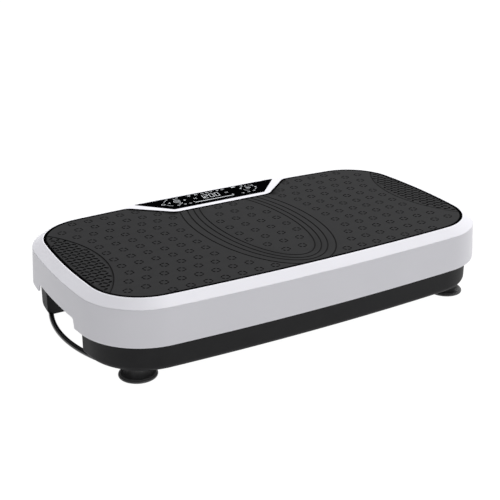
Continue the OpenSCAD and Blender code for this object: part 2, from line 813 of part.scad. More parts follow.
module pivot_bush_front() { pivot_bush(-rail_y); }
module pivot_bush_back() { pivot_bush(rail_y); }

rod_x = crank_x + throw;
rod_t = 12;
pin_r = 5;
ear_t = 4;
ear_gap = 1;

// A plate welded between the long rails, with two ears on each side of each rod
module link_bracket() {
    inner = rail_y - rail_w / 2 - 0.1;
    color(dark_steel) difference() {
        union() {
            translate([rod_x - 24, -inner, shell_roof_z - 3]) cube([48, 2 * inner, 3]);
            for (y = [-rod_y, rod_y], s = [-1, 1])
                translate([0, y + s * (rod_t / 2 + ear_gap + ear_t / 2), 0]) {
                    translate([rod_x - 9, -ear_t / 2, link_z]) cube([18, ear_t, shell_roof_z - 2 - link_z]);
                    rod(rod_x, link_z, 9, -ear_t / 2, ear_t / 2);
                }
        }
        rod(rod_x, link_z, pin_r + seat, -inner, inner);
    }
}

module link_pins() {
    reach = rod_t / 2 + ear_gap + ear_t;
    color(zinc) for (y = [-rod_y, rod_y]) {
        rod(rod_x, link_z, pin_r, y - reach, y + reach);
        rod(rod_x, link_z, pin_r + 2, y - reach - 2, y - reach);
        rod(rod_x, link_z, pin_r + 2, y + reach, y + reach + 2);
    }
}

module shell_screws() {
    color(zinc) for (p = shell_screw_spots) difference() {
        countersunk(p, 2, 0);
        translate([p.x, p.y, pocket_z - 1.4]) cylinder(r = 1.8, h = 5, $fn = 6);
    }
}

// ---------- crank ----------

ecc_r = 13;

module crankshaft() {
    color(zinc) union() {
        rod(crank_x, crank_z, shaft_r, -rod_y - rod_t / 2 - 4, belt_y + 10);
        for (s = [-1, 1]) let (y = s * (block_y + block_t / 2 + gap + 1))
            rod(crank_x, crank_z, shaft_r + 2.5, y - 1, y + 1);
    }
}

module eccentric(y) {
    color(zinc) difference() {
        rod(rod_x, crank_z, ecc_r, y - rod_t / 2, y + rod_t / 2);
        rod(crank_x, crank_z, shaft_r + seat, y - 20, y + 20);
    }
}

module eccentric_front() { eccentric(-rod_y); }
module eccentric_back() { eccentric(rod_y); }

// A flanged pulley on a shaft
module pulley(x, track_r, flange_h, bore_r, holes) {
    color(dark_steel) difference() {
        union() {
            rod(x, crank_z, track_r, belt_y - 7, belt_y + 7);
            for (s = [-1, 1]) rod(x, crank_z, track_r + flange_h, belt_y + s * 6.4 - 0.6, belt_y + s * 6.4 + 0.6);
            rod(x, crank_z, bore_r + 4, belt_y - 8, belt_y + 8);
        }
        rod(x, crank_z, bore_r + seat, belt_y - 20, belt_y + 20);
        if (holes > 0) for (i = [0 : holes - 1]) let (a = i * 360 / holes)
            rod(x + 18 * cos(a), crank_z + 18 * sin(a), 4, belt_y - 20, belt_y + 20);
    }
}

module crank_pulley() { pulley(crank_x, big_pulley_r, 2, shaft_r, 6); }

// Armature on its shaft, with a commutator at the front
module motor_rotor() {
    color(dark_steel) {
        rod(motor_x, crank_z, motor_shaft_r, motor_front_y - 12, belt_y + 9);
        difference() {
            rod(motor_x, crank_z, 20, -34, 36);
            rod(motor_x, crank_z, motor_shaft_r - 0.5, -40, 40);
            for (i = [0 : 11]) translate([motor_x, 0, crank_z]) rotate([0, i * 30, 0])
                translate([17, -40, -1]) cube([5, 80, 2]);
        }
        ring(motor_x, crank_z, 10, motor_shaft_r - 0.5, -45, -36);
    }
}

module motor_pulley() { pulley(motor_x, small_pulley_r, 2, motor_shaft_r, 0); }

// ---------- connecting rods ----------

big_end_r = 18;
bush_r = 12;
small_end_r = 15.5;

module con_rod(y) {
    y0 = y - rod_t / 2;
    y1 = y + rod_t / 2;
    color(zinc) difference() {
        union() {
            rod(rod_x, crank_z, big_end_r, y0, y1);
            rod(rod_x, link_z, small_end_r, y0, y1);
            translate([rod_x - 9, y0 + 2, crank_z]) cube([18, rod_t - 4, link_z - crank_z]);
        }
        rod(rod_x, crank_z, ecc_r + running, y0 - 1, y1 + 1);
        rod(rod_x, link_z, bush_r + seat, y0 - 1, y1 + 1);
    }
}

module con_rod_front() { con_rod(-rod_y); }
module con_rod_back() { con_rod(rod_y); }

// Rubber bush between a link pin and the small end of a rod
module link_bush(y) {
    color(soft_black) ring(rod_x, link_z, bush_r, pin_r + seat, y - rod_t / 2, y + rod_t / 2);
}

module link_bush_front() { link_bush(-rod_y); }
module link_bush_back() { link_bush(rod_y); }

base_tub();
base_plate();
foot_front_left();
foot_front_right();
foot_back_left();
foot_back_right();
foot_studs();
foot_nuts();
handle_left();
handle_right();
pivot_stand_front();
pivot_stand_back();
pivot_shaft();
deck_bolts();
bearing_block_front();
bearing_block_back();
crank_bearing_front();
crank_bearing_back();
motor_can();
motor_magnets();
motor_cap_front();
motor_cap_back();
motor_cradle();
motor_bolts();
drive_belt();
bump_stops();
control_board();
board_posts();
heat_sink();
capacitors();
terminal_block();
motor_leads();
power_inlet();
inlet_pins();
switch_housing();
plate_screws();
top_shell();
standing_mat();
display_lens();
display_board();
digit_module();
top_frame();
pivot_hanger_front();
pivot_hanger_back();
pivot_bush_front();
pivot_bush_back();
link_bracket();
link_pins();
shell_screws();
crankshaft();
eccentric_front();
eccentric_back();
crank_pulley();
motor_rotor();
motor_pulley();
con_rod_front();
con_rod_back();
link_bush_front();
link_bush_back();
power_rocker();
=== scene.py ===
"""Vibration plate: the looks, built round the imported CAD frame.

Shapes are worked out in millimetres in the part's own frame (floor at z = 0, X along the
length, Y to the back) and become metres when a mesh is made.
"""
import math

import bpy
import numpy as np
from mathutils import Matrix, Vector, geometry


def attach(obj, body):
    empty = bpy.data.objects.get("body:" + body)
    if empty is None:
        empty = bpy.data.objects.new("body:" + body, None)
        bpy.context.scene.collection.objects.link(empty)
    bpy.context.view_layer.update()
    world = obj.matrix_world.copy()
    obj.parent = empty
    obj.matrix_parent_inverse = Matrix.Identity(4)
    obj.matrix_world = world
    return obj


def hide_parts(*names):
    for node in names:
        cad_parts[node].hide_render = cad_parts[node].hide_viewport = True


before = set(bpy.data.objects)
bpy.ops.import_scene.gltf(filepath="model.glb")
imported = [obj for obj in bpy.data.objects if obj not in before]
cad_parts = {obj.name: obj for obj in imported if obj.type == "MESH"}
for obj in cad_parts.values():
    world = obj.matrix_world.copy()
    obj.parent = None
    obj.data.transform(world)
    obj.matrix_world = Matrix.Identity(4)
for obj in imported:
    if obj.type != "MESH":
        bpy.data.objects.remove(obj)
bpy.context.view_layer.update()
scene = bpy.context.scene

MM = 0.001

# ---------- camera, light and floor ----------

CAMERA = (-0.7572, -1.2532, 0.6875)
TARGET = (-0.06645, -0.08503, 0.124)
FOCAL_MM, SENSOR_MM = 73.09, 36
FLOOR_HALF, FLOOR_TONE = 15, 0.06


def add_camera():
    data = bpy.data.cameras.new("camera")
    data.lens, data.sensor_width = FOCAL_MM, SENSOR_MM
    cam = bpy.data.objects.new("camera", data)
    scene.collection.objects.link(cam)
    cam.location = CAMERA
    cam.rotation_euler = (Vector(TARGET) - Vector(CAMERA)).to_track_quat("-Z", "Y").to_euler()
    scene.camera = cam


def add_sun(name, energy, spread, toward):
    sun = bpy.data.lights.new(name, "SUN")
    sun.energy, sun.angle = energy, math.radians(spread)
    lamp = bpy.data.objects.new(name, sun)
    scene.collection.objects.link(lamp)
    lamp.rotation_euler = Vector(toward).to_track_quat("Z", "Y").to_euler()


def add_light():
    """A broad soft light high at the back right, a weak low one in front and a dim sky."""
    world = bpy.data.worlds.new("studio")
    scene.world = world
    world.use_nodes = True
    sky = world.node_tree.nodes["Background"]
    sky.inputs["Color"].default_value = (0.97, 0.97, 1, 1)
    sky.inputs["Strength"].default_value = 0.15
    add_sun("overhead", 4.4, 50, (0.44, 0.32, 0.86))
    add_sun("front_fill", 0.5, 40, (0.3, -0.95, 0.12))
    scene.view_settings.view_transform = "Standard"
    scene.view_settings.look = "None"


def add_floor():
    """A pale floor that glows evenly, so that it stays white right up to the horizon."""
    mesh = bpy.data.meshes.new("floor")
    mesh.from_pydata([(FLOOR_HALF * x, FLOOR_HALF * y, 0)
                      for x, y in ((-1, -1), (1, -1), (1, 1), (-1, 1))], [], [(0, 1, 2, 3)])
    floor = bpy.data.objects.new("floor", mesh)
    scene.collection.objects.link(floor)
    mat = bpy.data.materials.new("floor_paper")
    mat.use_nodes = True
    shader = mat.node_tree.nodes["Principled BSDF"]
    shader.inputs["Base Color"].default_value = (FLOOR_TONE, FLOOR_TONE, FLOOR_TONE, 1)
    shader.inputs["Roughness"].default_value = 1
    shader.inputs["Specular IOR Level"].default_value = 0
    shader.inputs["Emission Color"].default_value = (1, 1, 1, 1)
    shader.inputs["Emission Strength"].default_value = 1.0
    mesh.materials.append(mat)


add_camera()
add_light()
add_floor()

# ---------- materials ----------

BUMP_DEPTH = 0.0002


def noise(tree, where, scale, detail):
    texture = tree.nodes.new("ShaderNodeTexNoise")
    texture.inputs["Scale"].default_value = scale
    texture.inputs["Detail"].default_value = detail
    tree.links.new(where, texture.inputs["Vector"])
    return texture.outputs["Fac"]


def painted_shade_below(tree, place, colour, low, high, dark):
    """Painted shade: the colour, turning into the dark one between the heights high and low, in
    mm, so that low places read as shaded.
    """
    split = tree.nodes.new("ShaderNodeSeparateXYZ")
    tree.links.new(place, split.inputs["Vector"])
    depth = tree.nodes.new("ShaderNodeMapRange")
    depth.inputs["From Min"].default_value = low * MM
    depth.inputs["From Max"].default_value = high * MM
    tree.links.new(split.outputs["Z"], depth.inputs["Value"])
    mix = tree.nodes.new("ShaderNodeMix")
    mix.data_type = "RGBA"
    mix.inputs["A"].default_value = (*dark, 1)
    tree.links.new(depth.outputs["Result"], mix.inputs["Factor"])
    tree.links.new(colour, mix.inputs["B"])
    return mix.outputs["Result"]


def procedural(name, base, shade, rough, grain=60, stretch=(1, 1, 1), spread=0.06, bump=0.1,
               bump_grain=1500, metallic=0.0, specular=0.5, coat=0.0, coat_rough=0.1,
               recess=None, painted_glow=0.0):
    """A material of two close tones mixed by noise, with its own roughness and surface grain.
    recess is (height in mm where the tone is darkest, height where it ends, dark colour): painted
    shade low in the recesses."""
    mat = bpy.data.materials.new(name)
    mat.use_nodes = True
    tree = mat.node_tree
    nodes, links = tree.nodes, tree.links
    shader = nodes["Principled BSDF"]
    place = nodes.new("ShaderNodeTexCoord").outputs["Object"]
    scaled = nodes.new("ShaderNodeMapping")
    scaled.inputs["Scale"].default_value = stretch
    links.new(place, scaled.inputs["Vector"])
    tone = noise(tree, scaled.outputs["Vector"], grain, 5)
    ramp = nodes.new("ShaderNodeValToRGB")
    dull, bright = ramp.color_ramp.elements
    dull.position, dull.color = 0.3, (*shade, 1)
    bright.position, bright.color = 0.7, (*base, 1)
    links.new(tone, ramp.inputs["Fac"])
    colour = ramp.outputs["Color"]
    # Painted shade: the colour darkens low in the recesses, where shade falls.
    if recess:
        colour = painted_shade_below(tree, place, colour, *recess)
    links.new(colour, shader.inputs["Base Color"])
    gloss = nodes.new("ShaderNodeMapRange")
    gloss.inputs["To Min"].default_value = rough - spread
    gloss.inputs["To Max"].default_value = rough + spread
    links.new(tone, gloss.inputs["Value"])
    links.new(gloss.outputs["Result"], shader.inputs["Roughness"])
    relief = nodes.new("ShaderNodeBump")
    relief.inputs["Strength"].default_value = bump
    relief.inputs["Distance"].default_value = BUMP_DEPTH
    links.new(noise(tree, scaled.outputs["Vector"], bump_grain, 3), relief.inputs["Height"])
    links.new(relief.outputs["Normal"], shader.inputs["Normal"])
    shader.inputs["Metallic"].default_value = metallic
    shader.inputs["Specular IOR Level"].default_value = specular
    shader.inputs["Coat Weight"].default_value = coat
    shader.inputs["Coat Roughness"].default_value = coat_rough
    # The glow is painted light: an emission on a part that is no lamp.
    if painted_glow:
        shader.inputs["Emission Color"].default_value = (*base, 1)
        shader.inputs["Emission Strength"].default_value = painted_glow
    return mat


FINISHES = {
    "shell_white": dict(base=(0.76, 0.755, 0.795), shade=(0.74, 0.735, 0.775), rough=0.4,
                        grain=14, bump=0.05, bump_grain=2600, specular=0.15),
    "tub_black": dict(base=(0.016, 0.016, 0.017), shade=(0.012, 0.012, 0.013), rough=0.55,
                      grain=40, bump=0.35, bump_grain=1900, specular=0.15),
    # The mat's recess colour is painted shade: near black low in its grooves and dashes.
    "mat_rubber": dict(base=(0.0235, 0.0235, 0.0242), shade=(0.0195, 0.0195, 0.0202), rough=0.72,
                       grain=90, bump=0.3, bump_grain=1700, specular=0.06,
                       recess=(123.35, 123.95, (0.0025, 0.0025, 0.0026))),
    # The border's near-black tone is painted shade of the gap at the mat's edge.
    "border_painted_shade": dict(base=(0.0016, 0.0016, 0.0017), shade=(0.001, 0.001, 0.001), rough=0.6,
                          grain=60, bump=0.12, bump_grain=1500, specular=0.0),
    "lens_black": dict(base=(0.0012, 0.0012, 0.0014), shade=(0.0008, 0.0008, 0.001), rough=0.1,
                       spread=0.02, grain=30, bump=0.01, specular=0.0),
    "foot_rubber": dict(base=(0.08, 0.08, 0.081), shade=(0.05, 0.05, 0.051), rough=0.42,
                        grain=120, bump=0.15, bump_grain=1500, specular=0.45),
    "handle_black": dict(base=(0.012, 0.012, 0.013), shade=(0.008, 0.008, 0.009), rough=0.16,
                         spread=0.03, grain=50, bump=0.04, specular=0.5),
    "belt_rubber": dict(base=(0.022, 0.022, 0.023), shade=(0.013, 0.013, 0.013), rough=0.7,
                        grain=400, bump=0.4),
    "buffer_rubber": dict(base=(0.032, 0.032, 0.033), shade=(0.022, 0.022, 0.022), rough=0.75,
                          grain=220, bump=0.3),
    "frame_paint": dict(base=(0.05, 0.052, 0.055), shade=(0.038, 0.039, 0.042), rough=0.45,
                        grain=300, bump=0.5, bump_grain=1200),
    "cast_block": dict(base=(0.15, 0.15, 0.155), shade=(0.085, 0.085, 0.09), rough=0.55,
                       grain=260, bump=0.7, bump_grain=700, metallic=0.8),
    "zinc_steel": dict(base=(0.56, 0.565, 0.57), shade=(0.42, 0.43, 0.44), rough=0.36,
                       grain=110, bump=0.12, metallic=1.0),
    "ground_steel": dict(base=(0.6, 0.6, 0.61), shade=(0.47, 0.47, 0.48), rough=0.24,
                         grain=60, stretch=(1, 30, 1), bump=0.2, metallic=1.0),
    "motor_paint": dict(base=(0.045, 0.047, 0.05), shade=(0.03, 0.031, 0.034), rough=0.38,
                        grain=160, bump=0.2),
    "rotor_steel": dict(base=(0.24, 0.225, 0.21), shade=(0.16, 0.15, 0.14), rough=0.42,
                        grain=40, stretch=(1, 60, 1), bump=0.5, metallic=0.8),
    "motor_alloy": dict(base=(0.58, 0.585, 0.59), shade=(0.44, 0.445, 0.45), rough=0.48,
                        grain=300, bump=0.4, metallic=1.0),
    "bush_bronze": dict(base=(0.46, 0.28, 0.13), shade=(0.34, 0.2, 0.085), rough=0.33,
                        grain=200, bump=0.15, metallic=1.0),
    "board_green": dict(base=(0.012, 0.12, 0.055), shade=(0.006, 0.08, 0.036), rough=0.35,
                        grain=420, bump=0.2, coat=0.3),
    "black_part": dict(base=(0.015, 0.015, 0.016), shade=(0.009, 0.009, 0.01), rough=0.42,
                       grain=200, bump=0.25),
    "rocker_red": dict(base=(0.33, 0.012, 0.014), shade=(0.25, 0.008, 0.01), rough=0.25,
                       grain=90, bump=0.08, coat=0.3),
    "lead_red": dict(base=(0.27, 0.022, 0.02), shade=(0.19, 0.014, 0.013), rough=0.45,
                     grain=200, bump=0.1),
    # The print's faint glow is painted light: the print is no lamp.
    "print_white": dict(base=(0.62, 0.64, 0.66), shade=(0.5, 0.52, 0.54), rough=0.4,
                        grain=300, bump=0.05, painted_glow=0.12),
}
MATERIALS = {slot: procedural(f"{slot}_look", **finish) for slot, finish in FINISHES.items()}

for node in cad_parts.values():
    for used in node.material_slots:
        used.material = MATERIALS[used.material.name.split(".")[0]]

# ---------- mesh tools ----------


def make(name, verts, faces):
    """A mesh object of millimetre points. Its faces already turn outward."""
    mesh = bpy.data.meshes.new(name)
    mesh.from_pydata((np.asarray(verts, float) * MM).tolist(), [], faces)
    mesh.validate()
    obj = bpy.data.objects.new(name, mesh)
    scene.collection.objects.link(obj)
    return obj


def level(z, xy):
    return np.c_[xy, np.full(len(xy), z)]


def joined(parts):
    """Several (points, faces) lists as one."""
    verts, faces, start = [], [], 0
    for points, polys in parts:
        verts.append(points)
        faces += [tuple(start + i for i in poly) for poly in polys]
        start += len(points)
    return np.vstack(verts), faces


def loft(rings, closed=True):
    """A skin over rings of points that turn left about the way the row runs, with end caps."""
    n, last = len(rings[0]), len(rings) - 1
    faces = [(k * n + i, k * n + (i + 1) % n, (k + 1) * n + (i + 1) % n, (k + 1) * n + i)
             for k in range(last) for i in range(n)]
    if closed:
        faces += [tuple(range(n - 1, -1, -1)), tuple(last * n + i for i in range(n))]
    return np.vstack(rings), faces


def band(rings):
    """A skin over rings that closes on itself: a hoop of any section."""
    verts, faces = loft(rings, closed=False)
    n, last = len(rings[0]), len(rings) - 1
    faces += [(last * n + i, last * n + (i + 1) % n, (i + 1) % n, i) for i in range(n)]
    return verts, faces


def lathe(profile, centre, sides=96):
    """A turned solid: profile is (radius, height) from the bottom on the axis to the top on it."""
    turn = np.linspace(0, 2 * math.pi, sides, endpoint=False)
    unit = np.c_[np.cos(turn), np.sin(turn)]
    return loft([level(z, unit * r + centre) for r, z in profile])


def cylinder(x, y, r, z0, z1, sides=32):
    return lathe([(r, z0), (r, z1)], (x, y), sides)


def block(lo, hi):
    xy = np.array([[lo[0], lo[1]], [hi[0], lo[1]], [hi[0], hi[1]], [lo[0], hi[1]]], float)
    return loft([level(lo[2], xy), level(hi[2], xy)])


def boolean(obj, operation, parts):
    """Cuts the parts from obj, or adds them to it. The parts don't overlap each other."""
    tool = make("tool", *joined(parts))
    step = obj.modifiers.new("step", "BOOLEAN")
    step.operation, step.solver, step.object = operation, "EXACT", tool
    bpy.context.view_layer.update()
    result = bpy.data.meshes.new_from_object(
        obj.evaluated_get(bpy.context.evaluated_depsgraph_get()))
    obj.modifiers.clear()
    obj.data = result
    bpy.data.objects.remove(tool)


def settle(obj, body, slot, replaced=(), angle=32):
    """Gives the piece its finish, smooths all but its sharp edges and hands it to its body."""
    mesh = obj.data
    mesh.materials.append(MATERIALS[slot])
    mesh.shade_smooth()
    mesh.set_sharp_from_angle(angle=math.radians(angle))
    normals = obj.modifiers.new("normals", "WEIGHTED_NORMAL")
    normals.keep_sharp = True
    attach(obj, body)
    if replaced:
        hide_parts(*replaced)


# ---------- outline of the plate ----------

PLATE_L, PLATE_W, PLATE_H = 670, 370.8, 124
SIDE_R, END_R, CORNER_R = 3890, 910, 97.7
SKIRT_Z, SKIRT_FLARE, CHAMFER_H, CHAMFER_W, SHELL_T = 59.7, 3.3, 10.5, 15.8, 3
CREASE_Z = PLATE_H - CHAMFER_H
MAT_T, MAT_RIM, MAT_GAP = 2.5, 1.3, 0.15
POCKET_Z = PLATE_H - MAT_T
LENS_T, LENS_GAP, LENS_EDGE_R = 2, 0.12, 0.3
TUB_Z, TUB_TOP_Z, TUB_INSET, TUB_T, TUB_EDGE_R = 17.5, 76, 8, 3, 8
TUB_FLOOR_Z = TUB_Z + TUB_T
FOOT_X, FOOT_Y, FOOT_R, NECK_R = 270.5, 130.5, 27.3, 13
# The bay in the mat's back edge, round the display
BAY_BACK_HALF, BAY_FRONT_HALF, BAY_FRONT_Y = 147, 87, 112
BAY_OUTER_R, BAY_INNER_R, BAY_MARGIN = 20, 24, 25
DISPLAY_BACK_HALF, DISPLAY_FRONT_HALF, DISPLAY_CORNER_R = 132.5, 84, 1.5
DISPLAY_BACK_Y, DISPLAY_FRONT_Y, WINDOW_LEDGE = 174.5, 122.5, 8
# The flat behind the display, where the chamfer is narrower
POD_HALF, POD_BLEND, POD_CHAMFER_W = 154, 18, 7.4
# The finger grips: a notch in the shell's skirt and a recess in the tub at each end
GRIP_NOTCH_HALF, GRIP_NOTCH_H, RECESS_X, RECESS_HALF = 69, 14.3, 273, 69

# The centres of the side, end and corner arcs. The corner's arc touches the other two.
side_c = np.array([0, PLATE_W / 2 - SIDE_R])
end_c = np.array([PLATE_L / 2 - END_R, 0])
centre_gap = np.linalg.norm(end_c - side_c)
to_end = (end_c - side_c) / centre_gap
side_reach, end_reach = SIDE_R - CORNER_R, END_R - CORNER_R
along = (centre_gap ** 2 + side_reach ** 2 - end_reach ** 2) / (2 * centre_gap)
across = math.sqrt(side_reach ** 2 - along ** 2)
corner_c = side_c + along * to_end + across * np.array([to_end[1], -to_end[0]])


def heading(v):
    return math.degrees(math.atan2(v[1], v[0]))


def mirrored(quarter):
    """The whole ring of points from its first quarter, turning left from +X."""
    second = quarter[::-1][1:] * (-1, 1)
    fourth = quarter[::-1][1:-1] * (1, -1)
    return np.vstack([quarter, second, quarter[1:] * (-1, -1), fourth])


def whole_outline():
    """The plate's outline at its crease, and the outward direction at each of its points."""
    end_turn, side_turn = heading(corner_c - end_c), heading(corner_c - side_c)
    points, normals = [], []
    for c, r, t0, t1, steps in ((end_c, END_R, 0, end_turn, 10),
                                (corner_c, CORNER_R, end_turn, side_turn, 32),
                                (side_c, SIDE_R, side_turn, 90, 44)):
        t = np.radians(np.linspace(t0, t1, steps + 1))[1 if points else 0:]
        unit = np.c_[np.cos(t), np.sin(t)]
        points.append(c + r * unit)
        normals.append(unit)
    return mirrored(np.vstack(points)), mirrored(np.vstack(normals))


RIM, RIM_NORMAL = whole_outline()


def outline(d):
    """The plate's outline, moved inward by d: one number, or one for each point."""
    return RIM - RIM_NORMAL * np.reshape(d, (-1, 1))


def fillet(a, b, c, r, steps):
    """The arc of radius r that rounds corner b on the way from a to c."""
    a, b, c = (np.asarray(p, float) for p in (a, b, c))
    u, v = (a - b) / np.linalg.norm(a - b), (c - b) / np.linalg.norm(c - b)
    half = math.acos(u @ v) / 2
    centre = b + (u + v) / np.linalg.norm(u + v) * r / math.sin(half)
    start, finish = (b + w * r / math.tan(half) - centre for w in (u, v))
    t0 = math.atan2(start[1], start[0])
    turn = math.atan2(start[0] * finish[1] - start[1] * finish[0], start @ finish)
    t = np.linspace(t0, t0 + turn, steps + 1)
    return centre + r * np.c_[np.cos(t), np.sin(t)]


def rounded(points, r, steps=8):
    """A polygon with all its corners rounded."""
    n = len(points)
    return np.vstack([fillet(points[i - 1], points[i], points[(i + 1) % n], r, steps)
                      for i in range(n)])


def side_y(d, x):
    """Where the long side's arc, moved inward by d, is at x."""
    return side_c[1] + math.sqrt((SIDE_R - d) ** 2 - x ** 2)


def mat_outline(d, steps=12):
    """The mat's pocket, moved inward by d: the plate's top with a bay round the display."""
    inset = CHAMFER_W + MAT_RIM + d
    whole = outline(inset)
    edge = np.array([BAY_BACK_HALF, side_y(inset, BAY_BACK_HALF)])
    front = np.array([BAY_FRONT_HALF, BAY_FRONT_Y - d])
    before = whole[(whole[:, 1] >= 0) & (whole[:, 0] > edge[0] + BAY_MARGIN)]
    after = whole[(whole[:, 1] < 0) | (whole[:, 0] < -edge[0] - BAY_MARGIN)]
    before = before[np.argsort(np.arctan2(before[:, 1], before[:, 0]))]
    turn = np.arctan2(after[:, 1], after[:, 0]) % (2 * math.pi)
    after = after[np.argsort(turn)]
    flip = np.array([-1, 1])
    return np.vstack([before,
                      fillet(before[-1], edge, front, BAY_OUTER_R, steps),
                      fillet(edge, front, front * flip, BAY_INNER_R, steps),
                      fillet(front, front * flip, edge * flip, BAY_INNER_R, steps),
                      fillet(front * flip, edge * flip, after[0], BAY_OUTER_R, steps),
                      after])


def display_shape(d):
    """The display's pocket, moved inward by d."""
    front, back = DISPLAY_FRONT_HALF - d, DISPLAY_BACK_HALF - 1.6 * d
    low, high = DISPLAY_FRONT_Y + d, DISPLAY_BACK_Y - d
    return rounded([[-front, low], [front, low], [back, high], [-back, high]], DISPLAY_CORNER_R)


# ---------- shell ----------

HEM_R, CREASE_R, TOP_EDGE_R = 0.8, 1.5, 1
ROOF_INSET = 11
SCREW_BORE_R, SCREW_HEAD_R, SCREW_HEAD_H = 2.15, 4.55, 2.4
SHELL_SCREWS = [(x, y) for x in (-250, -130, 130, 250) for y in (-100, 100)]


def pod_share():
    """How much of the chamfer each rim point gives up to the flat behind the display."""
    x = np.clip((POD_HALF - np.abs(RIM[:, 0])) / POD_BLEND, 0, 1)
    return np.where(RIM[:, 1] > 0, x * x * (3 - 2 * x), 0)


def pocket(shape, floor_z, r=0.25):
    """A pocket from floor_z up through the top face, its upper edge rounded outward by r."""
    levels = [(floor_z, 0), (PLATE_H - r, 0)]
    levels += [(PLATE_H - r + r * math.sin(t), -r * (1 - math.cos(t)))
               for t in np.radians((30, 60, 90))]
    levels.append((PLATE_H + 1, -r))
    return loft([level(z, shape(d)) for z, d in levels])


def end_notch(side):
    """The cutter for one end's notch: a low arch with sloping ends."""
    half, top, r = GRIP_NOTCH_HALF, SKIRT_Z + GRIP_NOTCH_H, 4
    yz = np.vstack([[[-half - 4, SKIRT_Z - 6], [half + 4, SKIRT_Z - 6]],
                    fillet([half + 1, SKIRT_Z], [half - 2, top], [0, top], r, 8),
                    fillet([0, top], [-half + 2, top], [-half - 1, SKIRT_Z], r, 8)])
    if side < 0:
        yz = yz[::-1]
    return loft([np.c_[np.full(len(yz), side * x), yz] for x in (RECESS_X, PLATE_L / 2 + 10)])


def shell():
    """The white skin: hollow inside, with pockets for the mat and the display in its top."""
    wall = [(-SKIRT_FLARE, SKIRT_Z), (0, CREASE_Z), (CHAMFER_W, PLATE_H)]
    profile = np.vstack([fillet((0, SKIRT_Z), wall[0], wall[1], HEM_R, 4),
                         fillet(*wall, CREASE_R, 5),
                         fillet(wall[1], wall[2], (2 * CHAMFER_W, PLATE_H), TOP_EDGE_R, 4)])
    share = 1 - pod_share() * (1 - POD_CHAMFER_W / CHAMFER_W)
    obj = make("shell", *loft([level(z, outline(d * share if z > CREASE_Z - 5 else d))
                               for d, z in profile]))
    roof_z = POCKET_Z - SHELL_T
    boolean(obj, "DIFFERENCE", [loft([level(SKIRT_Z - 5, outline(SHELL_T - SKIRT_FLARE)),
                                      level(SKIRT_Z, outline(SHELL_T - SKIRT_FLARE)),
                                      level(CREASE_Z - 2, outline(SHELL_T)),
                                      level(roof_z, outline(SHELL_T + ROOF_INSET))])])
    boolean(obj, "DIFFERENCE", [pocket(mat_outline, POCKET_Z),
                                pocket(display_shape, PLATE_H - LENS_T),
                                end_notch(-1), end_notch(1)])
    boolean(obj, "DIFFERENCE", [loft([level(z, display_shape(WINDOW_LEDGE))
                                      for z in (roof_z - 5, PLATE_H - LENS_T + 0.5)])]
            + [lathe([(SCREW_BORE_R, POCKET_Z - 12), (SCREW_BORE_R, POCKET_Z - SCREW_HEAD_H),
                      (SCREW_HEAD_R, POCKET_Z), (SCREW_HEAD_R, POCKET_Z + 0.5)], p, 32)
               for p in SHELL_SCREWS])
    settle(obj, "platform", "shell_white", ["top_shell"])


# ---------- mat ----------

# The heights across each groove: a ring's by the distance from its line, the edge's by the
# distance from the rim and the crescents' by the distance inside the arc. The mesh has a line
# at every such distance.
GROOVE_AT, GROOVE_Z = (0, 0.7, 1.2), (-0.95, -0.8, 0)
GROOVE_LINES = (-1.2, -0.7, 0, 0.7, 1.2)
EDGE_AT, EDGE_Z = (0, 4.3, 4.7), (-0.95, -0.8, 0)
CRESCENT_AT, CRESCENT_Z = GROOVE_LINES, (0, -0.75, -0.95, -0.75, -0.25)
BORDER_W, BORDER_EDGE, BORDER_DEPTH = 4, 0.2, 1.2
# The oval rings (half width, half depth), and the arc that bounds the end crescents
RIPPLE_C = np.array([-4.9, 8])
RIPPLES = [(59, 145), (69, 156), (80, 165), (93, 178)]
CRESCENT_X, CRESCENT_Y, CRESCENT_R, CRESCENT_TURN = 458.5, -1, 197, 40
# The rosettes' two grids, outside the rings and inside them, and the room that each needs
ROSE_R, ROSE_PETALS = 5.6, 6
OUTER_PITCH, OUTER_X, OUTER_Y, OUTER_SHIFT, OUTER_FROM = 26.65, 248, 9.75, 2.2, 40
INNER_X, INNER_Y, INNER_LIFT = 28.1, 29.2, 0.9
ROSE_RING_ROOM, ROSE_CRESCENT_ROOM, ROSE_EDGE_ROOM = 8.4, 8.6, 10.6
WEAVE_X, WEAVE_Y, WEAVE_START = 7.2, 9.4, (299.9, 8.1)
WEAVE_ARC_ROOM, WEAVE_EDGE_ROOM = 4.2, 6.8
# Dashes: half length and half width, and (inset, height) of each outline from the top down
PETAL, PETAL_LEVELS = (2.4, 1.35), ((0, 0), (0.25, -0.5), (0.5, -0.8))
STRAND, STRAND_LEVELS = (4, 2.1), ((0, 0.05), (0.25, -0.7), (0.5, -1.1))


def ripple_distance(p, a, b):
    """How far each point is outside an ellipse, near enough."""
    q = (p - RIPPLE_C) / (a, b)
    f = np.linalg.norm(q, axis=1)
    slope = np.linalg.norm(q / (a, b), axis=1) / np.maximum(f, 1e-9)
    return (f - 1) / np.maximum(slope, 1e-9)


def crescent_distance(p, side):
    """How far each point is inside the end crescent's arc."""
    return CRESCENT_R - np.hypot(p[:, 0] - side * CRESCENT_X, p[:, 1] - CRESCENT_Y)


def edge_distance(p, ring):
    """How far each point is inside the ring: negative outside it."""
    a, b = ring, np.roll(ring, -1, axis=0)
    out, batch = np.empty(len(p)), 2000
    for i in range(0, len(p), batch):
        q = p[i:i + batch, None]
        t = np.clip(((q - a) * (b - a)).sum(-1) / ((b - a) ** 2).sum(-1), 0, 1)
        gap = np.linalg.norm(q - a - t[..., None] * (b - a), axis=-1).min(1)
        up = (a[:, 1] > q[..., 1]) != (b[:, 1] > q[..., 1])
        with np.errstate(divide="ignore", invalid="ignore"):
            cut = (b[:, 0] - a[:, 0]) * (q[..., 1] - a[:, 1]) / (b[:, 1] - a[:, 1]) + a[:, 0]
        inside = (up & (q[..., 0] < cut)).sum(1) % 2 == 1
        out[i:i + batch] = np.where(inside, gap, -gap)
    return out


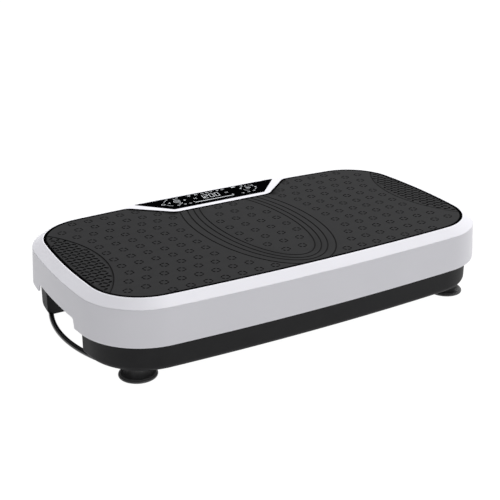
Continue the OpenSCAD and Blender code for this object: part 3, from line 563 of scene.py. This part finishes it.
def dash(centre, angle, half_l, half_w, sides=12):
    """The outline of a dash with full, round ends."""
    t = np.linspace(0, 2 * math.pi, sides, endpoint=False)
    c, s = np.cos(t), np.sin(t)
    x = half_l * np.sign(c) * np.abs(c) ** 0.75
    y = half_w * np.sign(s) * np.abs(s) ** 0.75
    ca, sa = math.cos(angle), math.sin(angle)
    return centre + np.c_[x * ca - y * sa, x * sa + y * ca]


def clear_of_crescents(spots):
    """How far each spot is outside both end crescents: negative inside one."""
    return -np.maximum(crescent_distance(spots, -1), crescent_distance(spots, 1))


def rose_spots(ring):
    """Places of the rosettes: square grids, with some rows shifted by half a pitch."""
    outer = []
    for row in range(-6, 8):
        y = OUTER_Y + row * OUTER_PITCH
        shift = OUTER_PITCH / 2 if row in (3, -4) else 0
        for k in range(-2, 9):
            x = OUTER_X - k * OUTER_PITCH - shift
            outer += [(-x - OUTER_SHIFT, y), (x - OUTER_SHIFT, y)] if x > OUTER_FROM else []
    inner = []
    for row in range(-4, 4):
        shift = 0.5 if row in (2, -3) else 0
        inner += [RIPPLE_C + ((k + 0.5 + shift) * INNER_X, INNER_LIFT + row * INNER_Y)
                  for k in range(-3, 3)]
    outer, inner = np.array(outer), np.array(inner)
    spots = np.vstack([outer[ripple_distance(outer, *RIPPLES[-1]) > ROSE_RING_ROOM],
                       inner[ripple_distance(inner, *RIPPLES[0]) < -ROSE_RING_ROOM]])
    return spots[(clear_of_crescents(spots) > ROSE_CRESCENT_ROOM)
                 & (edge_distance(spots, ring) > ROSE_EDGE_ROOM)]


def weave_spots(ring):
    """Places and directions of the crescents' dashes: each lies across its neighbours."""
    spots, turns = [], []
    for side in (-1, 1):
        for i in range(-8, 4):
            for j in range(-16, 17):
                spots.append((side * (WEAVE_START[0] + i * WEAVE_X), WEAVE_START[1] + j * WEAVE_Y))
                turns.append(math.radians(90 - side * (45 if (i + j) % 2 else -45)))
    spots, turns = np.array(spots), np.array(turns)
    kept = clear_of_crescents(spots) < -WEAVE_ARC_ROOM
    spots, turns = spots[kept], turns[kept]
    kept = edge_distance(spots, ring) > WEAVE_EDGE_ROOM
    return spots[kept], turns[kept]


def mat_lines(rim):
    """Every line of the pattern: the points, their heights where known, and their edges."""
    points, heights, edges = [], [], []

    def line(xy, z=np.nan, closed=True):
        start = sum(len(p) for p in points)
        n = len(xy)
        points.append(np.asarray(xy, float))
        heights.append(np.full(n, z))
        edges.extend((start + i, start + (i + 1) % n) for i in range(n if closed else n - 1))

    line(rim)
    for d in EDGE_AT[1:]:
        line(mat_outline(MAT_GAP + d))
    t = np.linspace(0, 2 * math.pi, 300, endpoint=False)
    for a, b in RIPPLES:
        for d in GROOVE_LINES:
            line(RIPPLE_C + np.c_[(a + d) * np.cos(t), (b + d) * np.sin(t)])
    t = np.radians(np.linspace(-CRESCENT_TURN, CRESCENT_TURN, 90))
    for side in (-1, 1):
        for d in CRESCENT_AT:
            r = CRESCENT_R + d
            line(np.c_[side * (CRESCENT_X - r * np.cos(t)), CRESCENT_Y + r * np.sin(t)],
                 closed=False)
    for spot in rose_spots(rim):
        for k in range(ROSE_PETALS):
            turn = math.radians(60 * k + 30)
            centre = spot + ROSE_R * np.array([math.cos(turn), math.sin(turn)])
            for d, z in PETAL_LEVELS:
                line(dash(centre, turn + math.pi / 2, PETAL[0] - d, PETAL[1] - d), z)
    for spot, turn in zip(*weave_spots(rim)):
        for d, z in STRAND_LEVELS:
            line(dash(spot, turn, STRAND[0] - d, STRAND[1] - d), z)
    return np.vstack(points), np.concatenate(heights), edges


def groove_depth(p, rim):
    """The height of each point that is on no dash, below the mat's top."""
    depth = np.interp(edge_distance(p, rim), EDGE_AT, EDGE_Z)
    for a, b in RIPPLES:
        off = np.abs(ripple_distance(p, a, b))
        depth = np.minimum(depth, np.interp(off, GROOVE_AT, GROOVE_Z))
    for side in (-1, 1):
        off = crescent_distance(p, side)
        depth = np.minimum(depth, np.interp(off, CRESCENT_AT, CRESCENT_Z))
    return depth


def boundary(triangles):
    """The points round the edge of a sheet of triangles, in their own turning direction."""
    sides = {(f[i], f[(i + 1) % 3]) for f in triangles for i in range(3)}
    follow = {a: b for a, b in sides if (b, a) not in sides}
    loop = [min(follow)]
    while follow[loop[-1]] != loop[0]:
        loop.append(follow[loop[-1]])
    return loop


def mat():
    """The mat's top is one triangulated relief: all edges of its pattern are lines of the mesh."""
    rim = mat_outline(MAT_GAP)
    flat, known, edges = mat_lines(rim)
    found = geometry.delaunay_2d_cdt([Vector(p) for p in flat], edges,
                                     [list(range(len(rim)))], 0, 1e-5)
    xy = np.array([tuple(p) for p in found[0]])
    z = np.array([known[source[0]] if source else np.nan for source in found[3]])
    unknown = np.isnan(z)
    z[unknown] = groove_depth(xy[unknown], rim)
    tops = [tuple(face) for face, source in zip(found[2], found[5]) if 0 in source]

    loop = boundary(tops)
    used = sorted({i for f in tops for i in f})
    new = {old: i for i, old in enumerate(used)}
    verts = np.vstack([np.c_[xy[used], PLATE_H + z[used]], level(POCKET_Z, xy[loop])])
    low, n = len(used), len(loop)
    faces = [tuple(new[i] for i in f) for f in tops]
    faces += [(low + i, low + (i + 1) % n, new[loop[(i + 1) % n]], new[loop[i]])
              for i in range(n)]
    faces.append(tuple(low + i for i in range(n - 1, -1, -1)))
    settle(make("mat", verts, faces), "platform", "mat_rubber", ["standing_mat"], angle=40)


def mat_border():
    """The smooth bead round the mat's edge, flush with its top. Its near-black tone is painted
    shade: the shadow of the gap between the mat and the shell's rim.
    """
    insets = (MAT_GAP, MAT_GAP, MAT_GAP + BORDER_EDGE, BORDER_W - BORDER_EDGE, BORDER_W, BORDER_W)
    heights = (-BORDER_DEPTH, -BORDER_EDGE, 0, 0, -BORDER_EDGE, -BORDER_DEPTH)
    rings = [level(PLATE_H + z, mat_outline(d)) for d, z in zip(insets, heights)]
    settle(make("mat_border", *band(rings)), "platform", "border_painted_shade")


# ---------- display ----------


def lens():
    """The flush glossy window, its upper edge softened."""
    r = LENS_EDGE_R
    levels = [(PLATE_H - LENS_T, LENS_GAP), (PLATE_H - r, LENS_GAP)]
    levels += [(PLATE_H - r + r * math.sin(t), LENS_GAP + r * (1 - math.cos(t)))
               for t in np.radians((30, 60, 90))]
    settle(make("lens", *loft([level(z, display_shape(d)) for z, d in levels])),
           "platform", "lens_black", ["display_lens"])


PRINT_Z = (PLATE_H - 0.02, PLATE_H + 0.03)
STROKE, THIN_STROKE = 0.8, 0.7


def shape(points):
    """A thin raised print of an outline that turns left."""
    xy = np.asarray(points, float)
    return loft([level(z, xy) for z in PRINT_Z])


def ribbon(points, width, closed=False):
    """A thin raised line through points."""
    p = np.asarray(points, float)
    ahead, behind = np.roll(p, -1, axis=0) - p, p - np.roll(p, 1, axis=0)
    if not closed:
        ahead[-1], behind[0] = behind[-1], ahead[0]
    ahead /= np.linalg.norm(ahead, axis=1)[:, None]
    behind /= np.linalg.norm(behind, axis=1)[:, None]
    mid = ahead + behind
    mid /= np.linalg.norm(mid, axis=1)[:, None]
    reach = width / 2 / np.maximum((mid * ahead).sum(1), 0.5)
    off = np.c_[-mid[:, 1], mid[:, 0]] * reach[:, None]
    if not closed:
        return shape(np.vstack([p - off, (p + off)[::-1]]))
    if (p[:, 0] * np.roll(p[:, 1], -1) - p[:, 1] * np.roll(p[:, 0], -1)).sum() < 0:
        off = -off
    low, high = PRINT_Z
    return band([level(low, p - off), level(high, p - off),
                 level(high, p + off), level(low, p + off)])


def circle(x, y, r, t0=0, t1=360, steps=28):
    """Points round a circle, or along its arc from t0 to t1 degrees."""
    t = np.radians(np.linspace(t0, t1, steps, endpoint=t1 - t0 < 360))
    return np.c_[x + r * np.cos(t), y + r * np.sin(t)]


# The ends of each segment, in widths and half heights, and the segments of each digit
SEGMENTS = {"a": ((0, 2), (1, 2)), "b": ((1, 1), (1, 2)), "c": ((1, 0), (1, 1)),
            "d": ((0, 0), (1, 0)), "e": ((0, 0), (0, 1)), "f": ((0, 1), (0, 2)),
            "g": ((0, 1), (1, 1))}
DIGITS = {"0": "abcdef", "1": "bc", "2": "abged"}


def digit(value, x, y, w=6.6, h=15.6, thick=1.25, lean=0.14):
    """A leaning seven-segment digit, its lower left corner at x, y."""
    parts = []
    for name in DIGITS[value]:
        a, b = (np.array([p[0] * w, p[1] * h / 2]) for p in SEGMENTS[name])
        way = (b - a) / np.linalg.norm(b - a)
        side = np.array([-way[1], way[0]]) * thick / 2
        a, b = a + way * 0.25, b - way * 0.25
        tip = way * thick / 2
        xy = np.array([a, a + tip - side, b - tip - side, b, b - tip + side, a + tip + side])
        xy[:, 0] += lean * xy[:, 1]
        parts.append(shape(xy + (x, y)))
    return parts


def arrow(x, y, turn, size=2.6):
    """A filled triangle that points along turn, in degrees."""
    t = np.radians(turn + np.array([0, 120, 240]))
    return shape(np.c_[x + size * np.cos(t), y + size * np.sin(t)])


def dashes(spots, half=2.6):
    """Short level marks, one under the other in pairs."""
    return [ribbon([(x - half * share, y - drop), (x + half * share, y - drop)], STROKE)
            for x, y in spots for drop, share in ((0, 1), (2, 0.6))]


def box_mark(x, y, w, h):
    """A filled rectangle, its lower left corner at x, y."""
    return shape([(x, y), (x + w, y), (x + w, y + h), (x, y + h)])


def bracket(x, y, side):
    """A small open triangle with a bar at its wide side."""
    return [ribbon([(x + 2 * side, y + 2.6), (x, y), (x + 2 * side, y - 2.6)], STROKE),
            ribbon([(x - 2.4 * side, y + 2), (x - 2.4 * side, y - 2)], STROKE)]


def broken_ring(x, y, r):
    """Four arcs round a key."""
    return [ribbon(circle(x, y, r, t, t + 46, 8), THIN_STROKE) for t in (20, 112, 200, 292)]


def number_and_bar():
    """The digits in the middle, the bar of blocks below them and the marks on both sides."""
    parts = []
    for value, x in zip("1200", (-24.5, -15.4, -5.1, 5.2)):
        parts += digit(value, x, 144.4)
    parts += [box_mark(-39.4 + k * 4.54, 134.2, 4.3, 2.2) for k in range(16)]
    parts += [ribbon([(-39.8, 141), (-39.8, 138)], 1.1), ribbon([(33, 141.4), (33, 137.4)], 1.4)]
    return parts + bracket(-30.5, 152.4, 1) + bracket(27.5, 152.4, -1)


def mark_row(y=168):
    """The row of small marks behind the digits."""
    ticks = [((x, y - 2), (x, y + 2)) for x in (-20, 5.6, 8)]
    ticks += [((26, y + dy), (31, y + dy)) for dy in (-1.2, 1.2)]
    return [ribbon(tick, STROKE) for tick in ticks] + [
        ribbon(circle(-35, y, 2.3), STROKE, True), shape(circle(-35, y, 0.9)),
        ribbon([(-12.6, y), (-11, y + 2), (-9.4, y - 2), (-7.8, y)], STROKE),
        ribbon(circle(-0.7, y, 2.4, 30, 330), STROKE), shape(circle(-0.7, y, 0.8)),
        arrow(-23.2, y, 90), arrow(18.8, y, 0)]


def power_key():
    """The key at the left, with its arrows and marks."""
    return broken_ring(-72, 152, 15) + [
        ribbon(circle(-64, 154, 5.2), STROKE, True),
        ribbon(circle(-64, 153.6, 2.4, 125, 415), THIN_STROKE),
        ribbon([(-64, 154.4), (-64, 157)], THIN_STROKE),
        arrow(-78, 153, 180), arrow(-50, 154, 0), arrow(-64, 164, 90, 2.2),
        arrow(-63, 144.5, 270, 2.2), ribbon(circle(-90, 151, 3), STROKE, True)
    ] + dashes([(-76, 170), (-57, 170.5), (-69, 137.5), (-57.5, 137), (-48, 136.5)])


def start_key():
    """The key at the right, with its arrows and marks."""
    return broken_ring(72, 154, 13) + [
        box_mark(46.5, 168, 7, 3.6), ribbon(circle(71.5, 155, 3.6), STROKE, True),
        arrow(71.3, 155, 0, 1.9), arrow(58, 157, 180), arrow(85, 153, 0), arrow(71, 164, 90, 2.2)
    ] + dashes([(66, 170), (83, 164), (51, 136.5), (62.5, 137), (73, 138)])


def display_print():
    settle(make("display_print",
                *joined(number_and_bar() + mark_row() + power_key() + start_key())),
           "platform", "print_white")


# ---------- tub, feet ----------

RECESS_R = 10
LUG_X, LUG_Y, LUG_TOP_Z = (-335, -297), (RECESS_HALF - 1, RECESS_HALF + 28), 37.5
TUB_FEET = [(x, y) for x in (-FOOT_X, FOOT_X) for y in (-FOOT_Y, FOOT_Y)]
FOOT_BOSS_R, FOOT_BOSS_Z, STUD_BORE_R = 16, 26, 4.2
TUB_SCREWS = [(x, y) for x in (-240, -80, 80, 240) for y in (-136, 136)]
TUB_SCREW_HEAD_R, TUB_SCREW_R = 5, 2.2
VENT_X, VENT_STEP, VENT_Y, VENT_HALF, VENT_R = 150, 9, 62, (1.6, 16), 1.5
# The thicker back wall round the inlet and the switch, and their openings
BACK_PAD = (-162, 170.6, 29), (-72, 177.6, 59)
INLET_HOLE = (-140 - 13.5, 140, 34), (-140 + 13.5, 200, 54)
SWITCH_HOLE = (-95 - 10.5, 140, 37), (-95 + 10.5, 200, 51)


def both_ends(part):
    """A (points, faces) part and its mirror image at the other end."""
    verts, faces = part
    return [(verts, faces), (verts * (-1, 1, 1), [f[::-1] for f in faces])]


def recess(grow):
    """The left finger recess, open past the plate's end and larger all round by grow."""
    far, near, half = -PLATE_L, -RECESS_X + grow, RECESS_HALF + grow
    return rounded([[far, -half], [near, -half], [near, half], [far, half]], RECESS_R + grow)


def recess_cutter(levels):
    """The cutter for both finger recesses, from (height, growth) levels."""
    return both_ends(loft([level(z, recess(grow)) for z, grow in levels]))


def tray_levels(d, z, r, steps=10):
    """(height, inset) up the rounded bottom edge of a tray whose wall is at inset d."""
    t = np.radians(np.linspace(0, 90, steps + 1))
    return list(zip(z + r * (1 - np.cos(t)), d + r * (1 - np.sin(t))))


def tub_core():
    """The hollow inside the tub: it leaves a wall round the recesses and a lug at each corner."""
    inside = tray_levels(TUB_INSET + TUB_T, TUB_FLOOR_Z, TUB_EDGE_R - TUB_T)
    inside.append((TUB_TOP_Z + 1, TUB_INSET + TUB_T))
    core = make("core", *loft([level(z, outline(d)) for z, d in inside]))
    boolean(core, "DIFFERENCE", recess_cutter([(-1, TUB_T), (120, TUB_T)]))
    lugs = both_ends(block((LUG_X[0], LUG_Y[0], 1), (LUG_X[1], LUG_Y[1], LUG_TOP_Z)))
    lugs += [(verts * (1, -1, 1), [f[::-1] for f in faces]) for verts, faces in lugs]
    boolean(core, "DIFFERENCE", lugs)
    verts = np.array([v.co for v in core.data.vertices]) / MM
    faces = [tuple(f.vertices) for f in core.data.polygons]
    bpy.data.objects.remove(core)
    return verts, faces


def vent(x, y):
    """The cutter for one slot in the tub's floor."""
    half_x, half_y = VENT_HALF
    slot = rounded([[x - half_x, y - half_y], [x + half_x, y - half_y],
                    [x + half_x, y + half_y], [x - half_x, y + half_y]], VENT_R, 5)
    return loft([level(z, slot) for z in (TUB_Z - 1, TUB_Z + 2.4)])


def tub():
    """The black tray, with its recesses, foot bosses, vents, screw bores and back openings."""
    walls = tray_levels(TUB_INSET, TUB_Z, TUB_EDGE_R)
    walls += [(TUB_TOP_Z - 0.8, TUB_INSET), (TUB_TOP_Z - 0.2, TUB_INSET + 0.2),
              (TUB_TOP_Z, TUB_INSET + 0.8)]
    obj = make("tub", *loft([level(z, outline(d)) for z, d in walls]))
    boolean(obj, "DIFFERENCE", recess_cutter([(-1, 1.6), (TUB_Z, 1.6), (TUB_Z + 0.5, 0.6),
                                              (TUB_Z + 1.6, 0), (120, 0)]))
    boolean(obj, "DIFFERENCE", [tub_core()])
    boolean(obj, "UNION", [cylinder(*p, FOOT_BOSS_R, TUB_FLOOR_Z - 1, FOOT_BOSS_Z, sides=48)
                           for p in TUB_FEET] + [block(*BACK_PAD)])
    vents = [vent(side * (VENT_X + VENT_STEP * k), y)
             for side in (-1, 1) for k in range(-4, 5) for y in (-VENT_Y, VENT_Y)]
    head_z = TUB_Z + 1.2
    bores = [lathe([(TUB_SCREW_HEAD_R, 16), (TUB_SCREW_HEAD_R, head_z), (TUB_SCREW_R, head_z),
                    (TUB_SCREW_R, 40)], p, 32) for p in TUB_SCREWS]
    boolean(obj, "DIFFERENCE", vents + [cylinder(*p, STUD_BORE_R, -1, 45) for p in TUB_FEET]
            + bores + [block(*INLET_HOLE), block(*SWITCH_HOLE)])
    settle(obj, "base", "tub_black", ["base_tub"])


def foot(name, x, y):
    """A suction foot: thin lip, hollow underside and a waisted neck with a bead at its top."""
    hollow = [(0.01, 5.5), (8, 5.5), (12, 4.6), (16, 3), (19.5, 1.2), (22.3, 0)]
    lip = [(FOOT_R - d, z) for d, z in ((0.9, 0), (0.3, 0.25), (0, 0.9), (0, 1.6),
                                        (0.3, 2.6), (0.9, 3.3), (1.6, 3.5), (2.1, 3.9))]
    flare = [(NECK_R + (FOOT_R - 1.7 - NECK_R) * (1 - math.sin(t)), 4.6 + 12 * (1 - math.cos(t)))
             for t in np.radians(np.linspace(4, 78, 12))]
    flare = [(r, z) for r, z in flare if r < FOOT_R - 2.4]
    top = flare[-1][1]
    bead = [(NECK_R + 0.1, top + 0.6), (NECK_R + 1.1, top + 0.9), (NECK_R + 1.4, top + 1.5),
            (NECK_R + 1.1, TUB_Z - 0.1), (NECK_R, TUB_Z), (0.01, TUB_Z)]
    profile = hollow + lip + flare + bead
    settle(make(name, *lathe(profile, (x, y))), "base", "foot_rubber",
           [name.replace("pad", "foot")])


shell()
mat()
mat_border()
lens()
display_print()
tub()
for depth_name, y in (("front", -FOOT_Y), ("back", FOOT_Y)):
    for side_name, x in (("left", -FOOT_X), ("right", FOOT_X)):
        foot(f"pad_{depth_name}_{side_name}", x, y)
